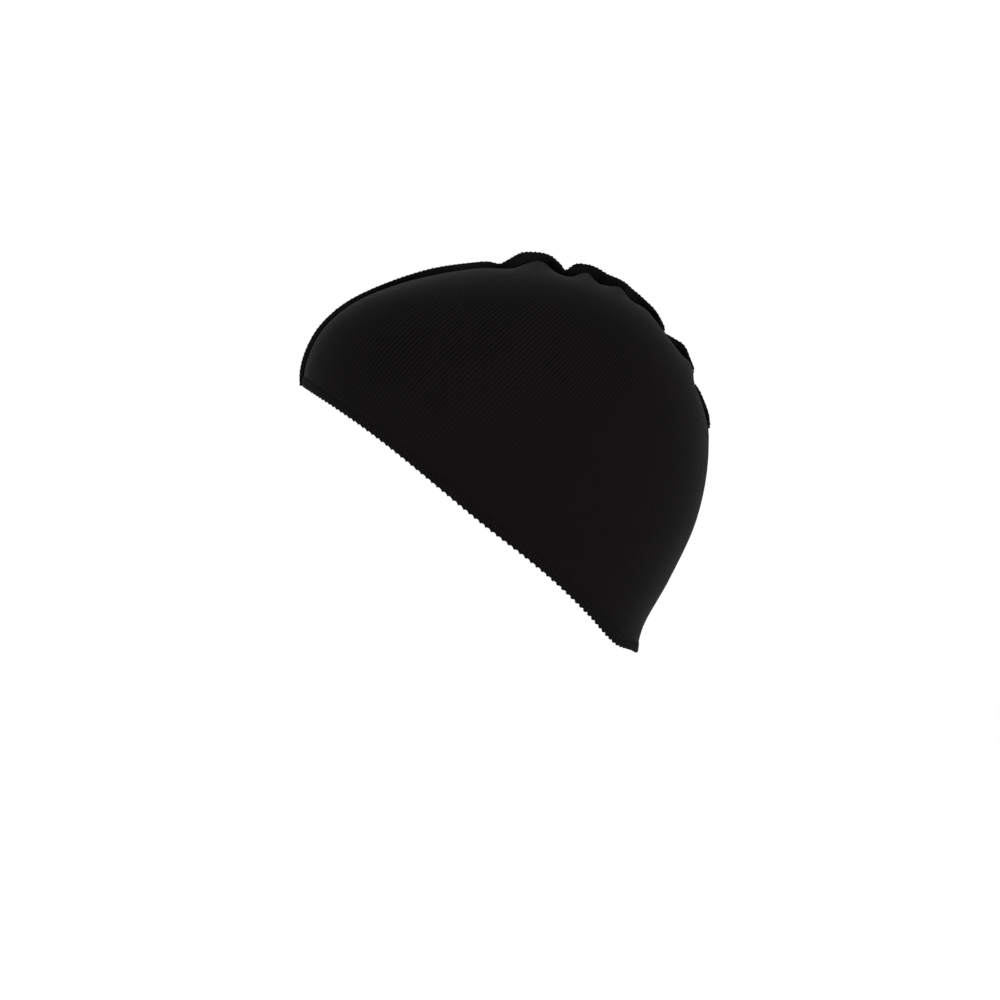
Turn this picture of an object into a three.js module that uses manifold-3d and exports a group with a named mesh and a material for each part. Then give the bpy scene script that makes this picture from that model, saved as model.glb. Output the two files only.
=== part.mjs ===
// A rib-knit wig cap in the form that it keeps when worn, in millimetres.
// The wearer faces -Y, +X is the wearer's left and +Z is up. The origin is where the crown bears on the wearer.
import * as THREE from "three";
import { mergeVertices } from "three/addons/utils/BufferGeometryUtils.js";
import Module from "manifold-3d";

// Driving sizes
const wall = 1.5; // the rib knit, a little stretched
const capBreadth = 154; // across the outside, at the widest level
const widestUp = -95; // that level
const napeBreadth = 118; // across the outside, level with the nape tip
const widestShare = 0.57; // how far back the widest place lies along a level, from front to rear
const crownRoundness = 2.2; // exponents of the curves: 2 is an ellipse, and more is squarer
const browRoundness = 2.25;
const napeRoundness = 2.1;
const hemSlope = THREE.MathUtils.degToRad(38.7); // how steeply the open end runs down to the nape
const edgeWidth = 4.3; // the overlocked edge of the open end
const edgeProud = 0.3; // how far that edge stands out of the knit, on each side
const seamThickness = 2; // two plies and their overlock threads
const seamEnd = 262; // where the raised seam runs out, along the crest from the hem
const gap = 0.3; // between pieces that touch

// The cap's outline in the plane of symmetry, without the seam, from the front over the crown to the nape.
const profile = [
  { place: "below the front hem", back: -93.6, up: -76 },
  { place: "front hem", back: -94.6, up: -55 },
  { place: "brow", back: -91.9, up: -41 },
  { place: "upper brow", back: -84.6, up: -27.6 },
  { place: "front rise", back: -70.5, up: -15.6 },
  { place: "fore crown", back: -47, up: -5.9 },
  { place: "crown", back: -15.4, up: 0.8 },
  { place: "top", back: 9, up: 2.3 },
  { place: "rear crown", back: 33.6, up: -1.2 },
  { place: "rear slope", back: 56, up: -9.2 },
  { place: "upper back", back: 76, up: -23.6 },
  { place: "back", back: 91.5, up: -46 },
  { place: "rear", back: 99.2, up: -72 },
  { place: "fullest rear", back: 99.6, up: -94 },
  { place: "lower back", back: 94.1, up: -120.5 },
  { place: "nape slope", back: 81.2, up: -148 },
  { place: "nape", back: 68.6, up: -170.8 },
  { place: "nape hem", back: 66.1, up: -182 },
  { place: "below the nape", back: 67.5, up: -200 },
];
const frontHem = profile.find((row) => row.place === "front hem");

// How the hem departs from a straight slant: rise is towards the crown, along is from the front hem.
const hemline = [
  { along: -40, rise: -1 },
  { along: 0, rise: 0 },
  { along: 22, rise: 1.8 },
  { along: 41, rise: 2.9 },
  { along: 62, rise: 3.2 },
  { along: 108, rise: 2.5 },
  { along: 137, rise: 2.9 },
  { along: 156, rise: 2.3 },
  { along: 175, rise: 0.4 },
  { along: 194, rise: -2.1 },
  { along: 204, rise: 0.9 },
  { along: 250, rise: 4 },
];

// The gathers that the ruffled seam draws in the crown: along is on the crest from the front hem.
const gathers = [
  { along: 0, rise: 0 },
  { along: 112, rise: 0 },
  { along: 121, rise: -1.2 },
  { along: 127, rise: -1.5 },
  { along: 132, rise: 0.7 },
  { along: 138, rise: 3.1 },
  { along: 142, rise: 3.1 },
  { along: 147, rise: 0.1 },
  { along: 151.5, rise: -2.7 },
  { along: 155.5, rise: -2.7 },
  { along: 160, rise: 1.4 },
  { along: 164, rise: 2.4 },
  { along: 170, rise: -0.5 },
  { along: 175, rise: 0.4 },
  { along: 180, rise: 2.1 },
  { along: 187.5, rise: -0.6 },
  { along: 196, rise: 0 },
  { along: 203, rise: -1.1 },
  { along: 210, rise: -2.7 },
  { along: 220, rise: -2 },
  { along: 224, rise: -1.1 },
  { along: 229, rise: 0.6 },
  { along: 234, rise: -0.1 },
  { along: 240.5, rise: -1.8 },
  { along: 248, rise: -0.9 },
  { along: 256, rise: -0.2 },
  { along: 262, rise: 0.3 },
  { along: 272, rise: 0 },
  { along: 400, rise: 0 },
];
const gatherReach = 14; // how far down the sides a gather fades

// The raised seam: top is its free edge above the plain outline, and lean is towards the wearer's left.
const seam = [
  { along: 0, top: 1.6, lean: 0 },
  { along: 8, top: 2.4, lean: -0.3 },
  { along: 40, top: 2.6, lean: -0.8 },
  { along: 57, top: 2.5, lean: 0.3 },
  { along: 74, top: 3, lean: 0.8 },
  { along: 90, top: 3.6, lean: 0.2 },
  { along: 106, top: 3.3, lean: -0.8 },
  { along: 116, top: 2.9, lean: -0.4 },
  { along: 121.5, top: 1.5, lean: 0.4 },
  { along: 125, top: 3.1, lean: -0.6 },
  { along: 131, top: 6.6, lean: -2.2 },
  { along: 136, top: 7.5, lean: -0.8 },
  { along: 144, top: 7, lean: 2 },
  { along: 150, top: 3.7, lean: 2.8 },
  { along: 153, top: 1.4, lean: 0.4 },
  { along: 156.5, top: 5.2, lean: -1.8 },
  { along: 162, top: 6.6, lean: -1.4 },
  { along: 167, top: 6.4, lean: 1.2 },
  { along: 172, top: 5.3, lean: 2.4 },
  { along: 180, top: 5.5, lean: 0.6 },
  { along: 186, top: 4.4, lean: -1.4 },
  { along: 193, top: 3.4, lean: 1 },
  { along: 200, top: 2.6, lean: 1.6 },
  { along: 206, top: 0.9, lean: 0.6 },
  { along: 208.5, top: 0.1, lean: -0.4 },
  { along: 210, top: -1.6, lean: -2.4 },
  { along: 213, top: -0.5, lean: -1.6 },
  { along: 216.5, top: 0.8, lean: -0.4 },
  { along: 220, top: 2.3, lean: 0.8 },
  { along: 223.5, top: 2.4, lean: 1.2 },
  { along: 227, top: 1.9, lean: 1 },
  { along: 230.5, top: 1.6, lean: 0.4 },
  { along: 233.5, top: 1, lean: 0 },
  { along: 236, top: -1.5, lean: -1 },
  { along: 239, top: -1.5, lean: -1 },
  { along: 241, top: -0.5, lean: -0.7 },
  { along: 248, top: 0.8, lean: -0.5 },
  { along: 256, top: 1.7, lean: 0.2 },
  { along: 262, top: 1.2, lean: 0 },
];

// How finely the faces follow the shape
const plainStep = 7; // between columns of the crown, along the crest
const gatherStep = 3; // the same where the seam is ruffled
const ruffleStart = 119; // where that stretch starts, along the crest from the hem
const sideRings = 8; // from the crest down to the core
const seamSides = 5; // vertices round each edge of a seam section
const hemStep = 8; // between vertices of the hem's cut
const core = { back: -10, up: -150 }; // below the hem, where the crown's columns run together
const innerShare = 0.08; // how near to the core they run

// The value of a table's column at a place between its rows, on a smooth curve through them.
function between(rows, column, along) {
  const last = rows.length - 1;
  let i = 0;
  while (i < last - 1 && along > rows[i + 1].along) i += 1;
  const slopeAt = (k) => {
    const a = rows[Math.max(k - 1, 0)];
    const b = rows[Math.min(k + 1, last)];
    return (b[column] - a[column]) / (b.along - a.along);
  };
  const span = rows[i + 1].along - rows[i].along;
  const t = THREE.MathUtils.clamp((along - rows[i].along) / span, 0, 1);
  const s = t * t * (3 - 2 * t);
  const bend = t * (1 - t) * ((1 - t) * slopeAt(i) - t * slopeAt(i + 1)) * span;
  return rows[i][column] * (1 - s) + rows[i + 1][column] * s + bend;
}

// The outline as a fine run of points, each with its length along the crest from the front hem.
const outline = new THREE.CatmullRomCurve3(
  profile.map((row) => new THREE.Vector3(0, row.back, row.up)),
  false,
  "centripetal",
);
const stepsPerRow = 40;
const crest = outline.getPoints((profile.length - 1) * stepsPerRow);
const crestAlong = [0];
for (let i = 1; i < crest.length; i += 1) crestAlong.push(crestAlong[i - 1] + crest[i].distanceTo(crest[i - 1]));
const hemAlong = crestAlong[profile.indexOf(frontHem) * stepsPerRow];
crestAlong.forEach((value, i) => (crestAlong[i] = value - hemAlong));
const topIndex = crest.reduce((best, p, i) => (p.z > crest[best].z ? i : best), 0);

// Where a value falls in a rising run, as an index and a fraction.
function locate(run, value) {
  let low = 0;
  let high = run.length - 1;
  while (high - low > 1) {
    const middle = (low + high) >> 1;
    if (run[middle] <= value) low = middle;
    else high = middle;
  }
  return low + THREE.MathUtils.clamp((value - run[low]) / (run[high] - run[low]), 0, 1);
}

function pointAt(points, place) {
  const i = Math.min(Math.floor(place), points.length - 2);
  return points[i].clone().lerp(points[i + 1], place - i);
}

// A point of the crest and the way out of it.
function crestAt(along) {
  const place = locate(crestAlong, along);
  const before = pointAt(crest, Math.max(place - 1, 0));
  const after = pointAt(crest, Math.min(place + 1, crest.length - 1));
  const way = after.sub(before).normalize();
  return { point: pointAt(crest, place), out: new THREE.Vector3(0, -way.z, way.y) };
}

// The front and rear of the outline at a level.
const frontRun = crest.slice(0, topIndex + 1);
const rearRun = crest.slice(topIndex).reverse();
const frontLevels = frontRun.map((p) => p.z);
const rearLevels = rearRun.map((p) => p.z);

// Half the breadth of the cap at a place seen from the side.
function halfBreadth(back, up) {
  const front = pointAt(frontRun, locate(frontLevels, up)).y;
  const rear = pointAt(rearRun, locate(rearLevels, up)).y;
  const widest = front + widestShare * (rear - front);
  const ahead = back < widest;
  const reach = ahead ? (widest - back) / (widest - front) : (back - widest) / (rear - widest);
  const power = ahead ? browRoundness : napeRoundness;
  const plan = (1 - Math.min(1, reach) ** power) ** (1 / power);
  const top = crest[topIndex].z;
  const rise = THREE.MathUtils.clamp((up - widestUp) / (top - widestUp), 0, 1);
  const above = (1 - rise ** crownRoundness) ** (1 / crownRoundness);
  const fall = THREE.MathUtils.smoothstep(widestUp - up, 0, 2 * (widestUp - profile.at(-2).up));
  return (capBreadth / 2) * above * plan - (capBreadth - napeBreadth) * fall * plan;
}

// Places along the crest where the crown and the seam both have a row of vertices.
const crestStart = crestAlong[0];
const crestEnd = crestAlong.at(-1);
const stations = [crestStart];
for (const [end, step] of [
  [0, plainStep],
  [ruffleStart, plainStep],
  [seamEnd, gatherStep],
  [crestEnd, plainStep],
]) {
  const start = stations.at(-1);
  const count = Math.round((end - start) / step);
  for (let i = 1; i <= count; i += 1) stations.push(start + ((end - start) * i) / count);
}
const plainCount = Math.round((crestEnd - crestStart) / plainStep);
const plainStations = Array.from({ length: plainCount + 1 }, (_, i) =>
  THREE.MathUtils.lerp(crestStart, crestEnd, i / plainCount),
);

// A column of the crown's left half: points from the crest down to the core, without gathers.
function columnAt(along) {
  const { point } = crestAt(along);
  const column = [];
  for (let j = 0; j <= sideRings; j += 1) {
    const share = innerShare + (1 - innerShare) * Math.cos(((j / sideRings) * Math.PI) / 2);
    const back = core.back + share * (point.y - core.back);
    const up = core.up + share * (point.z - core.up);
    column.push(new THREE.Vector3(j === 0 ? 0 : halfBreadth(back, up), back, up));
  }
  return column;
}

// The way out of the crown at a point of a column.
function outward(columns, i, j) {
  const ahead = columns[Math.min(i + 1, columns.length - 1)][j];
  const behind = columns[Math.max(i - 1, 0)][j];
  const lower = columns[i][Math.min(j + 1, sideRings)];
  const upper = j === 0 ? lower.clone().setX(-lower.x) : columns[i][j - 1];
  return ahead.clone().sub(behind).cross(lower.clone().sub(upper)).normalize().negate();
}

// The solid inside a skin that lies a distance out of the crown's surface, gathers included.
function domeSolid(distance, places) {
  const columns = places.map(columnAt);
  const positions = [];
  const left = [];
  const right = [];
  columns.forEach((column, i) => {
    const rise = between(gathers, "rise", places[i]);
    let down = 0;
    left.push([]);
    right.push([]);
    column.forEach((point, j) => {
      if (j > 0) down += point.distanceTo(column[j - 1]);
      const move = distance + rise * Math.exp(-((down / gatherReach) ** 2));
      const moved = point.clone().addScaledVector(outward(columns, i, j), move);
      left[i].push(positions.length / 3);
      positions.push(moved.x, moved.y, moved.z);
      if (j === 0) right[i].push(left[i][0]);
      else {
        right[i].push(positions.length / 3);
        positions.push(-moved.x, moved.y, moved.z);
      }
    });
  });
  const faces = [];
  const face = (a, b, c) => {
    if (a !== b && b !== c && c !== a) faces.push(a, b, c);
  };
  const quad = (a, b, c, d) => {
    face(a, b, c);
    face(a, c, d);
  };
  const last = columns.length - 1;
  for (let i = 0; i < last; i += 1)
    for (let j = 0; j < sideRings; j += 1) {
      quad(left[i][j], left[i][j + 1], left[i + 1][j + 1], left[i + 1][j]);
      quad(right[i][j], right[i + 1][j], right[i + 1][j + 1], right[i][j + 1]);
    }
  // The wall below, straight across from left to right.
  const rim = [];
  for (let j = 0; j < sideRings; j += 1) rim.push([0, j]);
  for (let i = 0; i < last; i += 1) rim.push([i, sideRings]);
  for (let j = sideRings; j >= 0; j -= 1) rim.push([last, j]);
  for (let k = 1; k < rim.length; k += 1) {
    const [i0, j0] = rim[k - 1];
    const [i1, j1] = rim[k];
    quad(left[i1][j1], left[i0][j0], right[i0][j0], right[i1][j1]);
  }
  return meshOf(positions, faces);
}

function meshOf(positions, faces) {
  const geometry = new THREE.BufferGeometry();
  geometry.setAttribute("position", new THREE.Float32BufferAttribute(positions, 3));
  geometry.setIndex(faces);
  return geometry;
}

// Everything on the crown's side of the hem, a distance in from its edge, as a slab across the whole cap.
function aboveHem(distance) {
  const shape = new THREE.Shape();
  const first = hemline[0].along;
  const last = hemline.at(-1).along;
  const count = Math.round((last - first) / hemStep);
  for (let i = 0; i <= count; i += 1) {
    const along = first + ((last - first) * i) / count;
    const rise = between(hemline, "rise", along) + distance;
    const back = frontHem.back + along * Math.cos(hemSlope) + rise * Math.sin(hemSlope);
    const up = frontHem.up - along * Math.sin(hemSlope) + rise * Math.cos(hemSlope);
    if (i === 0) shape.moveTo(back, up);
    else shape.lineTo(back, up);
  }
  const clear = 60; // the slab's other edges stay this far clear of the cap
  shape.lineTo(capBreadth / 2 + clear, clear);
  shape.lineTo(frontHem.back - clear, clear);
  const slab = new THREE.ExtrudeGeometry(shape, { depth: capBreadth + clear, bevelEnabled: false });
  slab.translate(0, 0, -(capBreadth + clear) / 2);
  const across = new THREE.Matrix4().makeBasis(
    new THREE.Vector3(0, 1, 0),
    new THREE.Vector3(0, 0, 1),
    new THREE.Vector3(1, 0, 0),
  );
  return slab.applyMatrix4(across);
}

// Closed geometry to a solid and back.
const wasm = await Module();
wasm.setup();

function solidOf(geometry) {
  const bare = geometry.clone();
  bare.deleteAttribute("normal");
  bare.deleteAttribute("uv");
  const merged = mergeVertices(bare, 1e-4);
  return new wasm.Manifold(
    new wasm.Mesh({
      numProp: 3,
      vertProperties: merged.attributes.position.array,
      triVerts: new Uint32Array(merged.index.array),
    }),
  );
}

function geometryOf(solid) {
  const { vertProperties, triVerts, numProp } = solid.getMesh();
  const positions = [];
  for (let i = 0; i < vertProperties.length; i += numProp) positions.push(...vertProperties.slice(i, i + 3));
  const geometry = meshOf(positions, Array.from(triVerts)).toNonIndexed();
  geometry.computeVertexNormals();
  return geometry;
}

// The body of the cap: one thin wall, open below.
function knitCrown() {
  const body = solidOf(domeSolid(0, stations)).intersect(solidOf(aboveHem(edgeWidth + gap)));
  return geometryOf(body.subtract(solidOf(domeSolid(-wall, stations))));
}

// The overlocked edge: a slightly thicker ring below the body.
function hemEdge() {
  const band = solidOf(aboveHem(0)).subtract(solidOf(aboveHem(edgeWidth)));
  const body = solidOf(domeSolid(edgeProud, plainStations)).intersect(band);
  return geometryOf(body.subtract(solidOf(domeSolid(-wall - edgeProud, plainStations))));
}

// The seam allowance: a strip on the crest with a rounded free edge, leaning and rising as the table says.
function seamRidge() {
  const positions = [];
  const faces = [];
  const places = stations.filter((along) => along >= 0 && along <= seamEnd);
  const sections = places.length - 1;
  const around = 2 * seamSides;
  const startLift = 3 * edgeProud; // clears the hem's edge at the front
  for (const along of places) {
    const { point, out } = crestAt(along);
    const lift = startLift * (1 - THREE.MathUtils.smoothstep(along, edgeWidth, 2 * edgeWidth));
    const foot = between(gathers, "rise", along) + gap + lift;
    const height = Math.max(between(seam, "top", along) - foot, seamThickness / 3);
    const radius = Math.min(seamThickness, height) / 2;
    const low = new THREE.Vector2(0, foot + radius);
    const high = new THREE.Vector2(between(seam, "lean", along), foot + height - radius);
    const turn = Math.atan2(high.y - low.y + 1e-3, high.x);
    for (let k = 0; k < around; k += 1) {
      const upper = k < seamSides;
      const angle = turn - Math.PI / 2 + (Math.PI * (k - (upper ? 0 : 1))) / (seamSides - 1);
      const centre = upper ? high : low;
      const aside = centre.x + radius * Math.cos(angle);
      const off = centre.y + radius * Math.sin(angle);
      const at = point.clone().addScaledVector(out, Math.max(off, foot));
      positions.push(aside, at.y, at.z);
    }
  }
  const index = (i, k) => i * around + (k % around);
  for (let i = 0; i < sections; i += 1)
    for (let k = 0; k < around; k += 1) {
      faces.push(index(i, k), index(i + 1, k + 1), index(i, k + 1));
      faces.push(index(i, k), index(i + 1, k), index(i + 1, k + 1));
    }
  for (let k = 1; k < around - 1; k += 1) {
    faces.push(index(0, 0), index(0, k), index(0, k + 1));
    faces.push(index(sections, 0), index(sections, k + 1), index(sections, k));
  }
  return geometryOf(solidOf(meshOf(positions, faces)));
}

// Finishes
const knit = new THREE.MeshStandardMaterial({ color: 0x141213, roughness: 0.95, metalness: 0 });
const overlock = new THREE.MeshStandardMaterial({ color: 0x0d0f10, roughness: 0.9, metalness: 0 });

const cap = new THREE.Group();
cap.name = "wig_cap";
for (const [name, geometry, material] of [
  ["knit_crown", knitCrown(), knit],
  ["seam_ridge", seamRidge(), overlock],
  ["hem_edge", hemEdge(), overlock],
]) {
  const mesh = new THREE.Mesh(geometry, material);
  mesh.name = name;
  cap.add(mesh);
}

export default cap;
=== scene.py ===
import math

import bpy
import numpy as np
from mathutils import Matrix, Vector


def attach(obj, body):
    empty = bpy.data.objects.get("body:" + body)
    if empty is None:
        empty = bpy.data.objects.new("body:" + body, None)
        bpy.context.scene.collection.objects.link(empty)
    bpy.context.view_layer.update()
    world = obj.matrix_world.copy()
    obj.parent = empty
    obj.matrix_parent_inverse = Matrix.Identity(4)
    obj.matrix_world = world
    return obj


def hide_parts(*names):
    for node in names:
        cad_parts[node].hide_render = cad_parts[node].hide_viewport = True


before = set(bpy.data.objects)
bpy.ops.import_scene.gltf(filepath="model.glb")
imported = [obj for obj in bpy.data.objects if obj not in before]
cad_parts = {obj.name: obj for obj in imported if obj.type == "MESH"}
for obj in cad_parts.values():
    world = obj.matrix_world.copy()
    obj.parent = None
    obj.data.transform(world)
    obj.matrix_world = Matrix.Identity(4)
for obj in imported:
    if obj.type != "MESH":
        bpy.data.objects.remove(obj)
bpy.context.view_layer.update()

bl_info = {
    "name": "Rib-knit wig cap",
    "version": (1, 0, 0),
    "blender": (4, 5, 0),
    "location": "View3D > Sidebar > Wig cap",
    "description": "Builds the knit body, the ruffled seam and the overlocked hem of a worn wig cap",
    "category": "Mesh",
}

MM = 0.001

# Sizes of the worn cap, in millimetres, as in the part's source. Back is +Y and up is +Z.
CAP_BREADTH = 154
WIDEST_UP = -95
NAPE_BREADTH = 118
WIDEST_SHARE = 0.57
CROWN_ROUNDNESS = 2.2
BROW_ROUNDNESS = 2.25
NAPE_ROUNDNESS = 2.1
HEM_SLOPE = math.radians(38.7)
EDGE_WIDTH = 4.3
TUCK = 0.6
GATHER_REACH = 14
SEAM_END = 262

# Fixed places: a core (back, up) from which the crest is found, a place just ahead of the cap from which
# the ribs are thrown onto it, and the cap's middle, which normals point away from.
CORE = (-10, -150)
WALES_CENTRE = (-110, 0, -90)
MIDDLE = (0, 0, -100)

# The outline in the plane of symmetry, from the front over the crown to the nape: back, up.
PROFILE = np.array([
    (-93.6, -76), (-94.6, -55), (-91.9, -41), (-84.6, -27.6), (-70.5, -15.6), (-47, -5.9),
    (-15.4, 0.8), (9, 2.3), (33.6, -1.2), (56, -9.2), (76, -23.6), (91.5, -46), (99.2, -72),
    (99.6, -94), (94.1, -120.5), (81.2, -148), (68.6, -170.8), (66.1, -182), (67.5, -200),
])
# The rows of the outline where the hem meets it.
FRONT_HEM = 1
NAPE_HEM = 17

# How the hem departs from a straight slant: along it from the front, rise towards the crown.
HEMLINE = np.array([
    (-40, -1), (0, 0), (22, 1.8), (41, 2.9), (62, 3.2), (108, 2.5), (137, 2.9), (156, 2.3),
    (175, 0.4), (194, -2.1), (204, 0.9), (250, 4),
])
# The stretch of the slant that is searched for the outline at both ends.
SLANT = (-15, 225)

# The gathers at the seam: along the crest from the front hem, rise.
GATHERS = np.array([
    (0, 0), (112, 0), (121, -1.2), (127, -1.5), (132, 0.7), (138, 3.1), (142, 3.1), (147, 0.1),
    (151.5, -2.7), (155.5, -2.7), (160, 1.4), (164, 2.4), (170, -0.5), (175, 0.4), (180, 2.1),
    (187.5, -0.6), (196, 0), (203, -1.1), (210, -2.7), (220, -2), (224, -1.1), (229, 0.6), (234, -0.1),
    (240.5, -1.8), (248, -0.9), (256, -0.2), (262, 0.3), (272, 0), (400, 0),
])

# The raised seam: along the crest, height of its free edge, lean to the wearer's left.
SEAM = np.array([
    (0, 1.6, 0), (8, 2.4, -0.3), (40, 2.6, -0.8), (57, 2.5, 0.3), (74, 3, 0.8), (90, 3.6, 0.2),
    (106, 3.3, -0.8), (116, 2.9, -0.4), (121.5, 1.5, 0.4), (125, 3.1, -0.6), (131, 6.6, -2.2),
    (136, 7.5, -0.8), (144, 7, 2), (150, 3.7, 2.8), (153, 1.4, 0.4), (156.5, 5.2, -1.8),
    (162, 6.6, -1.4), (167, 6.4, 1.2), (172, 5.3, 2.4), (180, 5.5, 0.6), (186, 4.4, -1.4),
    (193, 3.4, 1), (200, 2.6, 1.6), (206, 0.9, 0.6), (208.5, 0.1, -0.4), (210, -1.6, -2.4),
    (213, -0.5, -1.6), (216.5, 0.8, -0.4), (220, 2.3, 0.8), (223.5, 2.4, 1.2), (227, 1.9, 1),
    (230.5, 1.6, 0.4), (233.5, 1, 0), (236, -1.5, -1), (239, -1.5, -1), (241, -0.5, -0.7),
    (248, 0.8, -0.5), (256, 1.7, 0.2), (262, 1.2, 0),
])
# How deep the seam's foot stands in the knit.
SEAM_SINK = 0.25

# The ribs, by their distance round the hem from its front: where they end along the crest, how far their
# middle bows to the front, and their pitch as a share of the rib pitch.
WALES = np.array([
    (0, 4, 0, 0.93), (18, 47, 5, 0.95), (35, 96, 7, 1), (47, 126, 7, 1.03), (63, 147, 4, 1.06),
    (86, 164, 1, 1.07), (112, 179, -3, 1.02), (138, 193, -5, 0.97), (167, 212, -5, 0.95),
    (205, 237, -3, 0.95), (282, 265, 0, 0.95),
])

# The ribs and their painted shade and highlight are flat near the seam and come out with distance from it,
# and they fade again going down.
SEAM_FLAT = 30
SEAM_FADE = 28
SEAM_STRENGTH = 0.15
LOW_FROM = -20
LOW_FADE = 85
LOW_LOSS = 0.72
RIB_UNEVENNESS = 0.3

# The section of the hem's edge: rise above the cut, place from the middle of the wall (0) to its outer
# skin (1) or inner one (-1), and how much of the ribs' height and of their painted shade and highlight shows.
HEM_SECTION = np.array([
    (EDGE_WIDTH, 0, 0), (EDGE_WIDTH - 0.1, 0.9, 0.7), (2.9, 1, 1), (1.5, 1, 1), (0.6, 1, 0.8),
    (0.15, 0.72, 0.5), (0, 0, 0), (0.15, -0.72, 0), (0.6, -1, 0), (EDGE_WIDTH - 0.4, -1, 0),
    (EDGE_WIDTH, -0.6, 0),
])
# The edge swells at each stitch, up to this rise.
TOOTH_RISE = 1.2
# The thinnest radius of a thread loop, and how far its middle stands off the cloth.
LOOP_RADIUS = 0.2
LOOP_CLEARANCE = 0.05

# How finely the forms are drawn.
CREST_STEPS = 40
SLANT_STEPS = 4001
PITCH_STEPS = 2001
PATH_STEPS = 161
HALVINGS = 28
COLUMNS_PER_RIB = 4
BODY_ROWS = 65
INNER_STEP = 8
SEAM_STEPS = 351
SEAM_SIDES = 7
LOOP_STEPS = 13
LOOP_SIDES = 6

# The floor is a disc: radii of its rings in metres, and places round it.
FLOOR_RADII = (0.4, 1.2, 2.4, 4.2)
FLOOR_SIDES = 96


def smooth(share):
    """A share from 0 to 1 with a soft start and end."""
    return share * share * (3 - 2 * share)


def between(table, column, along):
    """The table's column at places between its rows, on a smooth curve through them."""
    x, y = table[:, 0], table[:, column]
    slope = np.empty(len(x))
    slope[1:-1] = (y[2:] - y[:-2]) / (x[2:] - x[:-2])
    slope[0] = (y[1] - y[0]) / (x[1] - x[0])
    slope[-1] = (y[-1] - y[-2]) / (x[-1] - x[-2])
    i = np.clip(np.searchsorted(x, along, side="right") - 1, 0, len(x) - 2)
    span = x[i + 1] - x[i]
    t = np.clip((along - x[i]) / span, 0, 1)
    s = smooth(t)
    bend = t * (1 - t) * ((1 - t) * slope[i] - t * slope[i + 1]) * span
    return y[i] * (1 - s) + y[i + 1] * s + bend


def centripetal(points):
    """A centripetal Catmull-Rom curve through the points."""
    ends = [2 * points[0] - points[1], *points, 2 * points[-1] - points[-2]]
    share = np.linspace(0, 1, CREST_STEPS, endpoint=False)[:, None]
    runs = []
    for p0, p1, p2, p3 in zip(ends, ends[1:], ends[2:], ends[3:]):
        d0, d1, d2 = (np.linalg.norm(b - a) ** 0.5 for a, b in ((p0, p1), (p1, p2), (p2, p3)))
        v1 = ((p1 - p0) / d0 - (p2 - p0) / (d0 + d1) + (p2 - p1) / d1) * d1
        v2 = ((p2 - p1) / d1 - (p3 - p1) / (d1 + d2) + (p3 - p2) / d2) * d1
        square = 3 * (p2 - p1) - 2 * v1 - v2
        cube = 2 * (p1 - p2) + v1 + v2
        runs.append(p1 + v1 * share + square * share**2 + cube * share**3)
    return np.concatenate([*runs, points[-1:]])


def lengths(line):
    """The length along a line of points, from its first."""
    return np.concatenate([[0], np.cumsum(np.linalg.norm(np.diff(line, axis=0), axis=1))])


def on_line(places, length, line):
    """The points at places along a line, given the length at each of its own points."""
    return np.stack([np.interp(places, length, column) for column in line.T], -1)


def unit(vectors):
    """The vectors, each one unit long."""
    return vectors / np.linalg.norm(vectors, axis=-1, keepdims=True)


def way_on(places, length, line, reach):
    """The way along a line at places on it, between the points a reach behind and ahead."""
    return unit(on_line(places + reach, length, line) - on_line(places - reach, length, line))


def square_to(vectors, way):
    """The part of each vector that is square to the way, one unit long."""
    return unit(vectors - way * np.sum(vectors * way, axis=1, keepdims=True))


def outward(vectors, points):
    """The vectors turned to point away from the middle of the cap."""
    return vectors * np.sign(np.sum(vectors * (points - MIDDLE), axis=1, keepdims=True))


def both_sides(left):
    """The rows of the left side, then their mirror images."""
    return np.concatenate([left, left * (-1, 1, 1)])


CREST = centripetal(PROFILE)
CREST_ALONG = lengths(CREST)
CREST_ALONG = CREST_ALONG - CREST_ALONG[FRONT_HEM * CREST_STEPS]
CORE_ANGLE = np.unwrap(np.arctan2(CREST[:, 1] - CORE[1], -(CREST[:, 0] - CORE[0])))
TOP = int(CREST[:, 1].argmax())


def crest_at(along):
    """Places on the crest (back, up) and the way out of it there."""
    way = way_on(along, CREST_ALONG, CREST, 1)
    return on_line(along, CREST_ALONG, CREST), np.stack([-way[:, 1], way[:, 0]], -1)


def nearest_crest(back, up):
    """The place along the crest that lies straight out from the core through each place."""
    angle = np.arctan2(up - CORE[1], -(back - CORE[0]))
    # Angles of places below the core, towards the nape, are counted on from those at the rear.
    angle = np.where(angle < CORE_ANGLE[0] - 0.3, angle + 2 * math.pi, angle)
    return np.interp(angle, CORE_ANGLE, CREST_ALONG)


def front_and_rear(up):
    """How far back the outline's front and its rear lie at a height."""
    front = np.interp(up, CREST[: TOP + 1, 1], CREST[: TOP + 1, 0])
    rear = np.interp(up, CREST[TOP:, 1][::-1], CREST[TOP:, 0][::-1])
    return front, rear


def half_breadth(back, up):
    """Half the breadth of the cap at places seen from the side."""
    front, rear = front_and_rear(up)
    widest = front + WIDEST_SHARE * (rear - front)
    ahead = back < widest
    ahead_reach = (widest - back) / np.maximum(widest - front, 1e-6)
    behind_reach = (back - widest) / np.maximum(rear - widest, 1e-6)
    reach = np.clip(np.where(ahead, ahead_reach, behind_reach), 0, 1)
    power = np.where(ahead, BROW_ROUNDNESS, NAPE_ROUNDNESS)
    plan = (1 - reach**power) ** (1 / power)
    rise = np.clip((up - WIDEST_UP) / (CREST[TOP, 1] - WIDEST_UP), 0, 1)
    above = (1 - rise**CROWN_ROUNDNESS) ** (1 / CROWN_ROUNDNESS)
    fall = smooth(np.clip((WIDEST_UP - up) / (2 * (WIDEST_UP - PROFILE[NAPE_HEM, 1])), 0, 1))
    return CAP_BREADTH / 2 * above * plan - (CAP_BREADTH - NAPE_BREADTH) * fall * plan


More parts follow.
